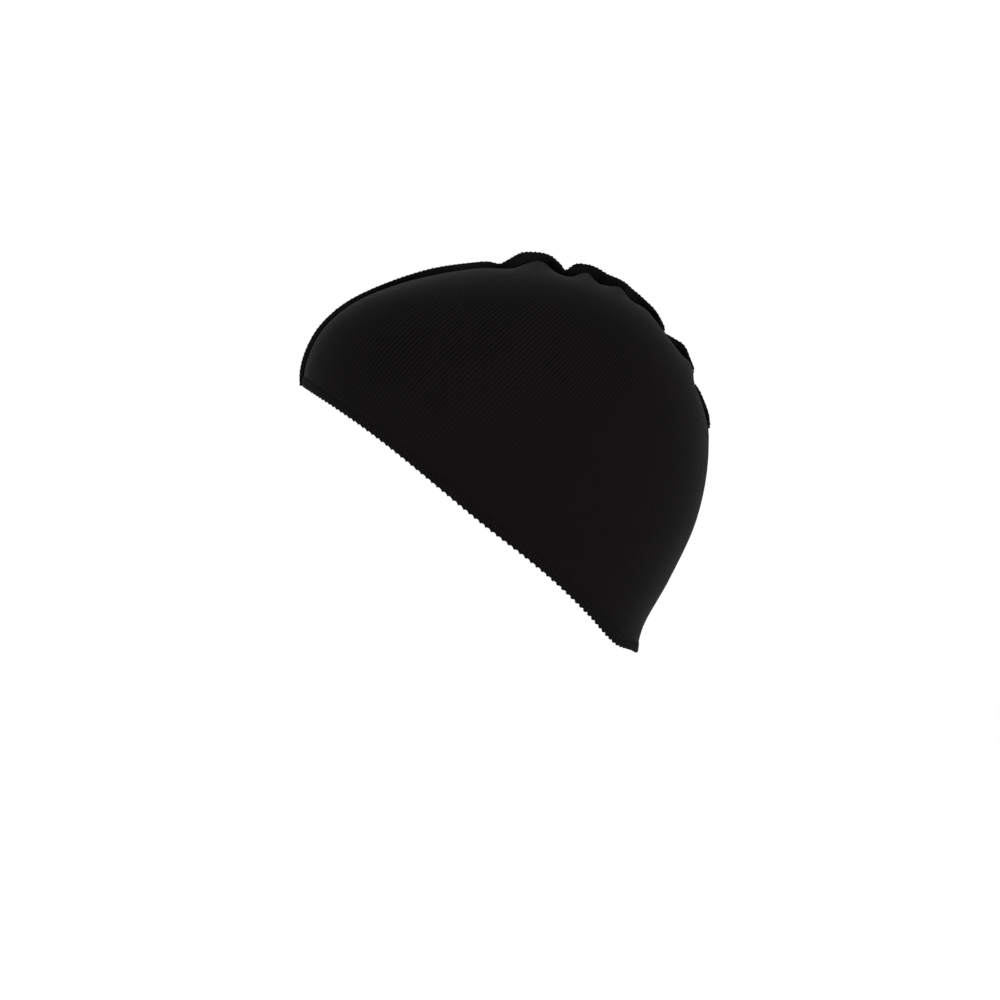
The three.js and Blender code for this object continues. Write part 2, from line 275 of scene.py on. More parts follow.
def level_row(rise, shares):
    """Points round the left half of the cap, front to rear, a rise above its hem's cut."""
    along = np.linspace(*SLANT, SLANT_STEPS)
    out = between(HEMLINE, 1, along) + rise
    back = PROFILE[FRONT_HEM, 0] + along * math.cos(HEM_SLOPE) + out * math.sin(HEM_SLOPE)
    up = PROFILE[FRONT_HEM, 1] - along * math.sin(HEM_SLOPE) + out * math.cos(HEM_SLOPE)
    front, rear = front_and_rear(up)
    held = (back >= front) & (back <= rear)
    points = np.stack([half_breadth(back, up), back, up], -1)[held]
    points[0, 0] = points[-1, 0] = 0
    length = lengths(points)
    return on_line(shares * length[-1], length, points)


def wale_columns(pitch):
    """The knit's columns: where each starts, as a share of the hem's left half, and its count of ribs."""
    fine = np.linspace(0, 1, PITCH_STEPS)
    around = lengths(level_row(EDGE_WIDTH - TUCK, fine))
    local = pitch * between(WALES, 3, (around[1:] + around[:-1]) / 2)
    ribs = np.concatenate([[0], np.cumsum(np.diff(around) / local)])
    count = round(ribs[-1])
    wale = np.linspace(0, count, COLUMNS_PER_RIB * count + 1)
    return np.interp(wale, ribs * count / ribs[-1], fine), wale


def onto_cap(points, centre):
    """The points moved onto the left half of the cap, straight out from a centre."""
    way = points - centre
    # The cap's skin lies between these shares of the way, and halving finds it.
    near = np.full(points.shape[:-1], 0.4)
    far = np.full(points.shape[:-1], 3.0)
    for _ in range(HALVINGS):
        middle = (near + far) / 2
        place = centre + way * middle[..., None]
        within = half_breadth(place[..., 1], place[..., 2]) > np.abs(place[..., 0]) + 1e-6
        near = np.where(within, middle, near)
        far = np.where(within, far, middle)
    return centre + way * near[..., None]


def wale_grid(shares, rows):
    """Points of the left half of the body, a column along each wale from the hem to the crest."""
    start = level_row(EDGE_WIDTH - TUCK, shares)
    around = lengths(start)
    crest, _ = crest_at(between(WALES, 1, around))
    end = np.concatenate([np.zeros((len(start), 1)), crest], axis=1)
    # Each path is drawn finer towards the crest.
    fine = 1 - np.linspace(1, 0, PATH_STEPS) ** 1.6
    chord = end - start
    ahead = unit(np.stack([np.zeros(len(start)), -chord[:, 2], chord[:, 1]], -1))
    # The bow is a parabola, full halfway up.
    bow = between(WALES, 2, around)[:, None] * 4 * fine * (1 - fine)
    path = start[:, None] + chord[:, None] * fine[:, None] + ahead[:, None] * bow[:, :, None]
    path = onto_cap(path, np.array(WALES_CENTRE))
    path[[0, -1], :, 0] = 0
    path[:, 0] = start
    path[:, -1] = end
    # The rows lie a little closer together towards the crest.
    share = np.linspace(0, 1, rows)
    share = 0.75 * share + 0.25 * (1 - (1 - share) ** 2)
    grid = np.empty((len(start), rows, 3))
    for column, points in zip(grid, path):
        length = lengths(points)
        column[:] = on_line(length[-1] * share, length, points)
    return grid


def ruffled(points, normals):
    """The points moved by the gathers near the crest, and how far they are from it."""
    along = nearest_crest(points[:, 1], points[:, 2])
    foot, _ = crest_at(along)
    down = np.sqrt(points[:, 0] ** 2 + (points[:, 1] - foot[:, 0]) ** 2 + (points[:, 2] - foot[:, 1]) ** 2)
    rise = between(GATHERS, 1, along) * np.exp(-((down / GATHER_REACH) ** 2))
    return points + normals * rise[:, None], down


def rib_strength(down, up):
    """The share of the ribs' height and of their painted shade and highlight that shows at a distance from
    the seam and at a height.
    """
    away = smooth(np.clip((down - SEAM_FLAT) / SEAM_FADE, 0, 1))
    low = smooth(np.clip((LOW_FROM - up) / LOW_FADE, 0, 1))
    return (SEAM_STRENGTH + (1 - SEAM_STRENGTH) * away) * (1 - LOW_LOSS * low)


def mirrored_numbers(columns, rows):
    """Numbers of the points of the left and the right half, which share those in the plane of symmetry."""
    left = np.arange(columns * rows).reshape(columns, rows)
    left[0, :] = left[0, 0]
    right = left + columns * rows
    right[:, -1] = left[:, -1]
    right[-1, :] = left[-1, :]
    right[0, :] = left[0, 0]
    return left, right


def half_faces(half, marks, order, offset=0):
    """Faces of one half between its marked rows, without repeated corners."""
    faces = []
    for i in range(len(half) - 1):
        for a, b in zip(marks, marks[1:]):
            quad = [half[i, a], half[i + 1, a], half[i + 1, b], half[i, b]]
            kept = [v + offset for k, v in enumerate(quad) if v != quad[k - 1]]
            if len(kept) > 2:
                faces.append(tuple(kept[::order]))
    return faces


def rim_faces(half, order, offset):
    """Faces that close the wall between its two skins along the lower end of one half."""
    pairs = [(a, b) for a, b in zip(half[:-1, 0], half[1:, 0]) if a != b]
    return [(a, a + offset, b + offset, b)[::-order] for a, b in pairs]


def ring_faces(rings, count, closed=False):
    """Quads that join each ring of points to the next, and the last to the first where closed."""
    faces = []
    for i in range(rings if closed else rings - 1):
        here, there = i * count, (i + 1) % rings * count
        for k in range(count):
            n = (k + 1) % count
            faces.append((here + k, here + n, there + n, there + k))
    return faces


def tube_faces(rings, count):
    """Quads between the rings of a tube, and a face on each end."""
    first = tuple(range(count))[::-1]
    last = tuple(range((rings - 1) * count, rings * count))
    return [*ring_faces(rings, count), first, last]


def tube(path, radii, sides):
    """Points and faces of a closed tube along a short path, in millimetres."""
    ways = unit(np.gradient(path, axis=0))
    points = []
    for place, way, radius in zip(path, ways, radii):
        side = unit(np.cross(way, (1, 0.02, 0.01)))
        other = np.cross(way, side)
        for k in range(sides):
            angle = 2 * math.pi * k / sides
            points.append(place + radius * (math.cos(angle) * side + math.sin(angle) * other))
    return points, tube_faces(len(path), sides)


def vertex_normals(points, faces):
    """The normal of the surface at each point."""
    mesh = bpy.data.meshes.new("normals")
    mesh.from_pydata(np.asarray(points).tolist(), [], faces)
    normals = np.empty(len(points) * 3)
    mesh.vertex_normals.foreach_get("vector", normals)
    bpy.data.meshes.remove(mesh)
    return normals.reshape(-1, 3)


def new_object(name, points, faces):
    """A new object from points in millimetres, at the origin."""
    mesh = bpy.data.meshes.new(name)
    mesh.from_pydata((np.asarray(points) * MM).tolist(), [], faces)
    mesh.update()
    piece = bpy.data.objects.new(name, mesh)
    bpy.context.scene.collection.objects.link(piece)
    return piece


def shade_smooth(mesh):
    """Shades every face of the mesh smooth."""
    mesh.polygons.foreach_set("use_smooth", [True] * len(mesh.polygons))


def set_attribute(mesh, name, kind, field, values):
    """Stores a value or a vector for each point of the mesh."""
    layer = mesh.attributes.new(name, kind, "POINT")
    layer.data.foreach_set(field, np.asarray(values, dtype=np.float32).ravel())


def put_ribs(mesh, wale, strength, course):
    """Gives each point its place across the ribs, their strength there and its place along them."""
    set_attribute(mesh, "wale", "FLOAT", "value", wale)
    set_attribute(mesh, "skin", "FLOAT", "value", strength)
    layer = mesh.uv_layers.new(name="wales")
    corner = np.empty(len(mesh.loops), dtype=np.int32)
    mesh.loops.foreach_get("vertex_index", corner)
    layer.data.foreach_set("uv", np.stack([wale, course], -1)[corner].astype(np.float32).ravel())


def finish_piece(piece, node):
    """Ties a piece to the frame: the body it rides on and the node it stands for."""
    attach(piece, "root")
    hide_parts(node)


def linear(colour):
    """An sRGB hex colour as linear red, green, blue and alpha."""
    channels = [int(colour[k : k + 2], 16) / 255 for k in (1, 3, 5)]
    return (*[c / 12.92 if c <= 0.04045 else ((c + 0.055) / 1.055) ** 2.4 for c in channels], 1.0)


def shared(kept, name, build, *values):
    """The tree or material of that name, built where it isn't there yet."""
    return kept.get(name) or build(*values)


def add(tree, kind, inputs=None, **settings):
    """Adds a node with its settings, its input values and its links."""
    node = tree.nodes.new(kind)
    for name, value in settings.items():
        setattr(node, name, value)
    for name, value in (inputs or {}).items():
        if isinstance(value, bpy.types.NodeSocket):
            tree.links.new(value, node.inputs[name])
        else:
            node.inputs[name].default_value = value
    return node


def maths(tree, operation, *values):
    """The result of a math node on one to three values."""
    return add(tree, "ShaderNodeMath", dict(enumerate(values)), operation=operation).outputs[0]


def noise(tree, place, per_mm, detail):
    """Noise with so many grains to a millimetre."""
    inputs = {"Vector": place, "Scale": per_mm / MM, "Detail": detail}
    return add(tree, "ShaderNodeTexNoise", inputs).outputs["Fac"]


def over_ribs(tree, wale):
    """A wave that is 1 on the ribs and 0 in the valleys between them."""
    turn = maths(tree, "MULTIPLY", wale, math.pi)
    return maths(tree, "ABSOLUTE", maths(tree, "SINE", turn))


def stored(tree, name, kind):
    """A piece's own attribute, in a geometry tree."""
    node = add(tree, "GeometryNodeInputNamedAttribute", {"Name": name}, data_type=kind)
    return node.outputs["Attribute"]


def tree_inputs(tree, sockets):
    """Gives a geometry tree its named inputs and its one output."""
    for name, kind, value in sockets:
        socket = tree.interface.new_socket(name, in_out="INPUT", socket_type=kind)
        if value is not None:
            socket.default_value = value
    tree.interface.new_socket("Geometry", in_out="OUTPUT", socket_type="NodeSocketGeometry")
    return tree.nodes.new("NodeGroupInput").outputs


def tree_result(tree, geometry, material):
    """Ends a geometry tree: instances made real, and the material set."""
    real = add(tree, "GeometryNodeRealizeInstances", {"Geometry": geometry})
    done = add(tree, "GeometryNodeSetMaterial", {"Geometry": real.outputs[0], "Material": material})
    add(tree, "NodeGroupOutput", {"Geometry": done.outputs[0]})


def set_input(modifier, tree, name, value):
    """Sets a modifier's input by the identifier of the socket with that name."""
    for item in tree.interface.items_tree:
        if item.item_type == "SOCKET" and item.in_out == "INPUT" and item.name == name:
            modifier[item.identifier] = value
            return
    raise KeyError(name)


def apply_tree(piece, tree, values):
    """Runs a geometry tree on a piece and keeps its result as the piece's plain mesh."""
    modifier = piece.modifiers.new(tree.name, "NODES")
    modifier.node_group = tree
    for name, value in values.items():
        set_input(modifier, tree, name, value)
    evaluated = piece.evaluated_get(bpy.context.evaluated_depsgraph_get())
    result = bpy.data.meshes.new_from_object(evaluated)
    result.name = piece.name
    piece.modifiers.remove(modifier)
    piece.data = result


def rib_tree():
    """Raises each wale of a knit surface into a round rib with a narrow valley beside it."""
    tree = bpy.data.node_groups.new("Knit ribs", "GeometryNodeTree")
    given = tree_inputs(tree, [
        ("Geometry", "NodeSocketGeometry", None),
        ("Rib height", "NodeSocketFloat", 0.0003),
        ("Unevenness", "NodeSocketFloat", RIB_UNEVENNESS),
        ("Material", "NodeSocketMaterial", None),
    ])
    crest = over_ribs(tree, stored(tree, "wale", "FLOAT"))
    place = add(tree, "GeometryNodeInputPosition").outputs[0]
    spread = maths(tree, "SUBTRACT", noise(tree, place, 0.22, 2.0), 0.5)
    uneven = maths(tree, "MULTIPLY_ADD", spread, given["Unevenness"], crest)
    masked = maths(tree, "MULTIPLY", uneven, stored(tree, "skin", "FLOAT"))
    height = maths(tree, "MULTIPLY", masked, given["Rib height"])
    normal = add(tree, "GeometryNodeInputNormal").outputs[0]
    move = add(tree, "ShaderNodeVectorMath", {0: normal, "Scale": height}, operation="SCALE").outputs[0]
    raised = add(tree, "GeometryNodeSetPosition", {"Geometry": given["Geometry"], "Offset": move})
    tree_result(tree, raised.outputs[0], given["Material"])
    return tree


def stitch_tree():
    """Sets one thread loop on each point of a line, square to its edge, and makes the loops one real mesh."""
    tree = bpy.data.node_groups.new("Overlock stitches", "GeometryNodeTree")
    given = tree_inputs(tree, [
        ("Geometry", "NodeSocketGeometry", None),
        ("Loop", "NodeSocketObject", None),
        ("Unevenness", "NodeSocketFloat", 0.15),
        ("Seed", "NodeSocketInt", 4),
        ("Material", "NodeSocketMaterial", None),
    ])
    out = stored(tree, "out", "FLOAT_VECTOR")
    way = stored(tree, "way", "FLOAT_VECTOR")
    size = stored(tree, "size", "FLOAT_VECTOR")
    turn = add(
        tree, "FunctionNodeAxesToRotation", {0: out, 1: way}, primary_axis="Z", secondary_axis="X"
    ).outputs[0]
    chance = add(tree, "FunctionNodeRandomValue", {"Seed": given["Seed"]}, data_type="FLOAT_VECTOR")
    half = {0: chance.outputs[0], 1: (0.5, 0.5, 0.5)}
    centred = add(tree, "ShaderNodeVectorMath", half, operation="SUBTRACT").outputs[0]
    weighed = {0: centred, "Scale": given["Unevenness"]}
    swing = add(tree, "ShaderNodeVectorMath", weighed, operation="SCALE").outputs[0]
    twist = add(tree, "FunctionNodeEulerToRotation", {0: swing}).outputs[0]
    turned = add(tree, "FunctionNodeRotateRotation", {0: turn, 1: twist}, rotation_space="LOCAL").outputs[0]
    whole = add(tree, "ShaderNodeVectorMath", {0: swing, 1: (1, 1, 1)}, operation="ADD").outputs[0]
    scale = add(tree, "ShaderNodeVectorMath", {0: whole, 1: size}, operation="MULTIPLY").outputs[0]
    loop = add(tree, "GeometryNodeObjectInfo", {"Object": given["Loop"]}, transform_space="ORIGINAL")
    stitches = add(tree, "GeometryNodeInstanceOnPoints", {
        "Points": given["Geometry"], "Instance": loop.outputs["Geometry"], "Rotation": turned, "Scale": scale,
    })
    tree_result(tree, stitches.outputs[0], given["Material"])
    return tree


def new_material(name):
    """A new material and its tree, with no nodes yet."""
    material = bpy.data.materials.new(name)
    material.use_nodes = True
    material.node_tree.nodes.clear()
    return material, material.node_tree


def knit_material(colour, valley_shade):
    """Rib-knit nylon, matt and slightly fuzzy: it shows soft ribs with painted shade in their valleys and
    painted highlight on their crests and loops, a grain of small loops and a pale rim.
    """
    material, tree = new_material("Knitted nylon rib")
    uv = add(tree, "ShaderNodeUVMap", uv_map="wales").outputs[0]
    part = add(tree, "ShaderNodeSeparateXYZ", {0: uv}).outputs
    place = add(tree, "ShaderNodeTexCoord").outputs["Object"]
    # Each rib is one wale of loops, which droop towards the valley: a whole turn of the wave a course.
    crest = over_ribs(tree, part[0])
    droop = maths(tree, "MULTIPLY_ADD", crest, 0.45, part[1])
    loops = maths(tree, "SINE", maths(tree, "MULTIPLY", droop, 2 * math.pi))
    stitch = maths(tree, "MULTIPLY_ADD", loops, 0.5, 0.5)
    # Grains of about 0.7 mm and finer stand for the fibres, coarser than real ones so that they show.
    fibre = noise(tree, place, 1.5, 3.0)
    # Patches of about 20 mm are where the cloth is a little more or less stretched.
    patch = noise(tree, place, 0.045, 3.0)
    calm = maths(tree, "MULTIPLY", patch, 0.3)
    tone = maths(tree, "MULTIPLY_ADD", fibre, 0.35, calm)
    # Rib crests and loop tops are painted lighter and the valleys darker, as painted highlight and painted
    # shade; towards the seam the ribs are drawn flat, and this painted light runs together into one colour.
    skin = add(tree, "ShaderNodeAttribute", attribute_name="skin").outputs["Fac"]
    painted_rib_light = maths(tree, "MULTIPLY_ADD", stitch, 0.3, crest)
    ribs = add(tree, "ShaderNodeMix", {0: skin, "A": 0.79, "B": painted_rib_light}, data_type="FLOAT").outputs[0]
    lit = maths(tree, "MULTIPLY_ADD", ribs, 0.95, tone)
    share = add(tree, "ShaderNodeMapRange", {"Value": lit, "From Min": 0.52, "From Max": 1.42}).outputs[0]
    # Painted shade: the valley colour darkens the paint between the ribs, where they are shaded.
    paint = add(tree, "ShaderNodeMix", {0: share, "A": valley_shade, "B": colour}, data_type="RGBA").outputs[2]
    rough = add(tree, "ShaderNodeMapRange", {"Value": patch, "To Min": 0.72, "To Max": 0.9}).outputs[0]
    coarse = add(tree, "ShaderNodeBump", {"Height": stitch, "Strength": 0.5, "Distance": 0.00012})
    bump = add(tree, "ShaderNodeBump", {
        "Height": fibre, "Strength": 0.3, "Distance": 0.0002, "Normal": coarse.outputs[0],
    })
    shader = add(tree, "ShaderNodeBsdfPrincipled", {
        "Base Color": paint, "Roughness": rough, "Specular IOR Level": 0.02,
        "Sheen Weight": 0.0245, "Sheen Roughness": 0.4, "Sheen Tint": (1.0, 0.97, 0.95, 1.0),
        "Normal": bump.outputs[0],
    })
    add(tree, "ShaderNodeOutputMaterial", {"Surface": shader.outputs[0]})
    return material


def thread_material(name, colour, pale):
    """Textured polyester overlock thread, spun and matt: blacker than the knit, with a soft fuzz."""
    material, tree = new_material(name)
    place = add(tree, "ShaderNodeTexCoord").outputs["Object"]
    # Crimped filaments, as grains of about 0.5 mm and finer, in patches of a few stitches.
    fibre = noise(tree, place, 2.2, 3.0)
    patch = noise(tree, place, 0.16, 2.0)
    tone = maths(tree, "MULTIPLY_ADD", fibre, 0.5, patch)
    share = add(tree, "ShaderNodeMapRange", {"Value": tone, "From Min": 0.5, "From Max": 1.05}).outputs[0]
    paint = add(tree, "ShaderNodeMix", {0: share, "A": colour, "B": pale}, data_type="RGBA").outputs[2]
    rough = add(tree, "ShaderNodeMapRange", {"Value": patch, "To Min": 0.75, "To Max": 0.95}).outputs[0]
    bump = add(tree, "ShaderNodeBump", {"Height": fibre, "Strength": 0.6, "Distance": 0.0002}).outputs[0]
    shader = add(tree, "ShaderNodeBsdfPrincipled", {
        "Base Color": paint, "Roughness": rough, "Specular IOR Level": 0.02,
        "Sheen Weight": 0.008, "Sheen Roughness": 0.4, "Normal": bump,
    })
    add(tree, "ShaderNodeOutputMaterial", {"Surface": shader.outputs[0]})
    return material


def paper_material(colour):
    """White seamless paper, matt, as on a product table: plain, with a faint tooth."""
    material, tree = new_material("White seamless paper")
    place = add(tree, "ShaderNodeTexCoord").outputs["Object"]
    tooth = noise(tree, place, 0.9, 2.0)
    bump = add(tree, "ShaderNodeBump", {"Height": tooth, "Strength": 0.1, "Distance": 0.0001}).outputs[0]
    shader = add(tree, "ShaderNodeBsdfPrincipled", {
        "Base Color": colour, "Roughness": 0.9, "Specular IOR Level": 0.2, "Normal": bump,
    })
    add(tree, "ShaderNodeOutputMaterial", {"Surface": shader.outputs[0]})
    return material


def thread_loop(name, half_width, depth, leg, bend, swell):
    """A loop of thread over an edge: its legs turn down past the bend, and its middle is thicker."""
    turns = np.linspace(-1, 1, LOOP_STEPS)
    angle = turns * math.pi / 2
    drop = leg * np.maximum(0, np.abs(turns) - bend) / (1 - bend)
    path = np.stack([half_width * turns, depth * np.sin(angle), LOOP_CLEARANCE * np.cos(angle) - drop], -1)
    loop = new_object(name, *tube(path, LOOP_RADIUS + swell * np.cos(angle) ** 2, LOOP_SIDES))
    shade_smooth(loop.data)
    return loop


def sew(name, points, out, way, size, loop, seed, unevenness, thread):
    """A piece with the loop set on each point, turned by the ways out of and along the edge."""
    piece = new_object(name, points, [])
    for attribute, values in (("out", out), ("way", way), ("size", size)):
        set_attribute(piece.data, attribute, "FLOAT_VECTOR", "vector", values)
    tree = shared(bpy.data.node_groups, "Overlock stitches", stitch_tree)
    apply_tree(piece, tree, {"Loop": loop, "Seed": seed, "Unevenness": unevenness, "Material": thread})
    bpy.data.objects.remove(loop)
    return piece


def hem_places(length, front_pitch, rear_pitch):
    """Where the hem's stitches lie along its edge: closer together at the front."""
    places = [0.5 * front_pitch]
    while places[-1] < length:
        share = places[-1] / length
        places.append(places[-1] + front_pitch * (1 - share) + rear_pitch * share)
    return np.array(places[:-1])


class KnitSettings(bpy.types.PropertyGroup):
    rib_pitch: bpy.props.FloatProperty(
        name="Rib pitch", description="Between ribs at the hem, about halfway along it", default=0.00176,
        unit="LENGTH", precision=5,
    )
    rib_height: bpy.props.FloatProperty(
        name="Rib height", description="From the valley to the top of a rib", default=0.0003,
        unit="LENGTH", precision=5,
    )
    wall: bpy.props.FloatProperty(
        name="Wall", description="Thickness of the knit", default=0.0015, unit="LENGTH", precision=4
    )
    course: bpy.props.FloatProperty(
        name="Course", description="Height of one loop of the knit", default=0.0014,
        unit="LENGTH", precision=5,
    )
    # The knit's colour at the top of the ribs, the lightest end of their painted highlight.
    colour: bpy.props.FloatVectorProperty(
        name="Knit", description="Colour of the ribs", subtype="COLOR", size=4, min=0, max=1,
        default=linear("#0d0b0c"),
    )
    # Painted shade: the darker colour between the ribs stands for the shade in their valleys.
    valley_shade: bpy.props.FloatVectorProperty(
        name="Valleys", description="Colour between the ribs", subtype="COLOR", size=4, min=0, max=1,
        default=linear("#040304"),
    )


class EdgeSettings(bpy.types.PropertyGroup):
    proud: bpy.props.FloatProperty(
        name="Proud", description="How far the hem's overlocked edge stands out of the knit",
        default=0.00006, unit="LENGTH", precision=5,
    )
    tooth: bpy.props.FloatProperty(
        name="Tooth", description="How far the hem's edge swells at each stitch", default=0.0005,
        unit="LENGTH", precision=5,
    )
    front_pitch: bpy.props.FloatProperty(
        name="Front pitch", description="Between stitches of the hem at the front", default=0.003,
        unit="LENGTH", precision=4,
    )
    rear_pitch: bpy.props.FloatProperty(
        name="Rear pitch", description="Between stitches of the hem at the nape", default=0.0037,
        unit="LENGTH", precision=4,
    )
    seam_pitch: bpy.props.FloatProperty(
        name="Seam pitch", description="Between stitches of the raised seam", default=0.0022,
        unit="LENGTH", precision=4,
    )
    seam_thickness: bpy.props.FloatProperty(
        name="Seam thickness", description="Two plies and their threads", default=0.0019,
        unit="LENGTH", precision=4,
    )
    thread: bpy.props.FloatVectorProperty(
        name="Seam thread", description="Colour of the seam's thread", subtype="COLOR", size=4, min=0, max=1,
        default=linear("#0a0909"),
    )
    fuzz: bpy.props.FloatVectorProperty(
        name="Seam fuzz", description="The palest of the seam's thread", subtype="COLOR", size=4,
        min=0, max=1, default=linear("#0e0d0e"),
    )
    hem_thread: bpy.props.FloatVectorProperty(
        name="Hem thread", description="Colour of the hem's thread", subtype="COLOR", size=4, min=0, max=1,
        default=linear("#0f0d0e"),
    )
    hem_fuzz: bpy.props.FloatVectorProperty(
        name="Hem fuzz", description="The palest of the hem's thread", subtype="COLOR", size=4, min=0, max=1,
        default=linear("#151314"),
    )


class StageSettings(bpy.types.PropertyGroup):
    floor: bpy.props.FloatProperty(
        name="Floor", description="Height of the floor", default=-0.36, unit="LENGTH"
    )
    distance: bpy.props.FloatProperty(
        name="Camera distance", description="From the camera to the plane of symmetry", default=3.2,
        unit="LENGTH",
    )
    width: bpy.props.FloatProperty(
        name="View width", description="What the picture takes in at the cap", default=0.48, unit="LENGTH"
    )
    middle: bpy.props.FloatProperty(
        name="View middle", description="Height of the middle of the picture", default=-0.1097, unit="LENGTH"
    )
    paper: bpy.props.FloatVectorProperty(
        name="Paper", description="Colour of the floor and backdrop", subtype="COLOR", size=4, min=0, max=1,
        default=linear("#ffffff"),
    )


class WIGCAP_OT_knit(bpy.types.Operator):
    """Build the rib-knit body along its wales, from the hem up to the seam"""

    bl_idname = "wigcap.knit"
    bl_label = "Knit body"

    def execute(self, context):
        knit = context.scene.wigcap_knit
        shares, wale = wale_columns(knit.rib_pitch / MM)
        columns, rows = len(shares), BODY_ROWS
        grid = wale_grid(shares, rows)
        steps = np.linalg.norm(np.diff(grid, axis=1), axis=2)
        run = np.concatenate([np.zeros((columns, 1)), np.cumsum(steps, axis=1)], axis=1)
        left, right = mirrored_numbers(columns, rows)
        skin = both_sides(grid.reshape(-1, 3))
        faces = half_faces(left, range(rows), 1) + half_faces(right, range(rows), -1)
        skin, down = ruffled(skin, vertex_normals(skin, faces))
        lining = skin - vertex_normals(skin, faces) * (knit.wall / MM)
        points = np.concatenate([skin, lining])
        # The inner side follows the outer one at every eighth row.
        marks = range(0, rows, INNER_STEP)
        for half, order in ((left, -1), (right, 1)):
            faces += half_faces(half, marks, order, len(skin))
            faces += rim_faces(half, order, len(skin))
        used = np.zeros(len(points), dtype=bool)
        for face in faces:
            used[list(face)] = True
        number = np.cumsum(used) - 1
        faces = [tuple(int(number[v]) for v in face) for face in faces]
        body = new_object("knit_body", points[used], faces)
        # Both sides and both skins have the same map of ribs.
        across = np.tile(np.repeat(wale, rows), 4)[used]
        courses = np.tile(run.ravel() * MM / knit.course, 4)[used]
        strength = np.tile(rib_strength(down, skin[:, 2]), 2)[used]
        put_ribs(body.data, across, strength, courses)
        shade_smooth(body.data)
        finish = shared(bpy.data.materials, "Knitted nylon rib", knit_material, knit.colour, knit.valley_shade)
        body.data.materials.append(finish)
        tree = shared(bpy.data.node_groups, "Knit ribs", rib_tree)
        values = {"Rib height": knit.rib_height, "Unevenness": RIB_UNEVENNESS, "Material": finish}
        apply_tree(body, tree, values)
        finish_piece(body, "knit_crown")
        return {"FINISHED"}


class WIGCAP_OT_seam(bpy.types.Operator):
    """Build the raised seam with its ruffles and its overlock stitches"""

    bl_idname = "wigcap.seam"
    bl_label = "Raised seam"

    def execute(self, context):
        edge = context.scene.wigcap_edge
        thick = edge.seam_thickness / MM
        along = np.linspace(0, SEAM_END, SEAM_STEPS)
        point, out = crest_at(along)
        top = between(SEAM, 1, along)
        lean = between(SEAM, 2, along)
        # Where the seam stands high, its free edge also wavers a little.
        flutter = 0.35 * np.sin(along * 0.83) * np.sin(along * 0.17 + 1)
        lean = lean + flutter * np.clip((top - 2) / 3, 0, 1)
        foot = between(GATHERS, 1, along) - SEAM_SINK
        height = np.maximum(top - foot, thick / 4)
        radius = np.minimum(thick, height) / 2
        # Each section is a stadium: half a circle round the high centre and half round the low one.
        low = np.stack([np.zeros_like(foot), foot + radius], -1)
        high = np.stack([lean, foot + height - radius], -1)
        # A trace of height keeps the flattest section pointing out.
        rise = high - low + (0, 1e-3)
        turn = np.arctan2(rise[:, 1], rise[:, 0])
        ring = []
        for centre, start in ((high, -math.pi / 2), (low, math.pi / 2)):
            for k in range(SEAM_SIDES):
                angle = turn + start + math.pi * k / (SEAM_SIDES - 1)
                aside = centre[:, 0] + radius * np.cos(angle)
                off = centre[:, 1] + radius * np.sin(angle)
                ring.append(np.concatenate([aside[:, None], point + out * off[:, None]], axis=1))
        grid = np.stack(ring, 1)
        faces = [(face[0], *face[:0:-1]) for face in tube_faces(len(along), len(ring))]
        strip = new_object("seam_allowance", grid.reshape(-1, 3), faces)
        shade_smooth(strip.data)
        thread = thread_material("Overlock thread of the seam", edge.thread, edge.fuzz)
        strip.data.materials.append(thread)
        finish_piece(strip, "seam_ridge")
        # Loops that wrap the free edge.
        rim = high + radius[:, None] * np.stack([np.cos(turn), np.sin(turn)], -1)
        rim = np.concatenate([rim[:, :1], point + out * rim[:, 1:]], axis=1)
        length = lengths(rim)
        places = np.arange(1.0, length[-1] - 1, edge.seam_pitch / MM)
        way = way_on(places, length, rim, 0.4)
        spine = np.concatenate([rise[:, :1], out * rise[:, 1:]], axis=1)
        beyond = square_to(on_line(places, length, spine), way)
        # Where the seam is low or thin, so are the loops.
        tall = np.interp(places, length, height)
        thin = np.interp(places, length, 2 * radius) / thick
        size = np.stack([np.ones_like(tall), thin, np.clip(tall / 4, 0.25, 1)], -1)
        at = on_line(places, length, rim) - beyond * 0.1
        depth = thick / 2 + LOOP_CLEARANCE
        loop = thread_loop("seam loop", half_width=0.75, depth=depth, leg=2.8, bend=0.3, swell=0.12)
        stitches = sew("seam_stitches", at, beyond, way, size, loop, seed=3, unevenness=0.3, thread=thread)
        finish_piece(stitches, "seam_ridge")
        return {"FINISHED"}


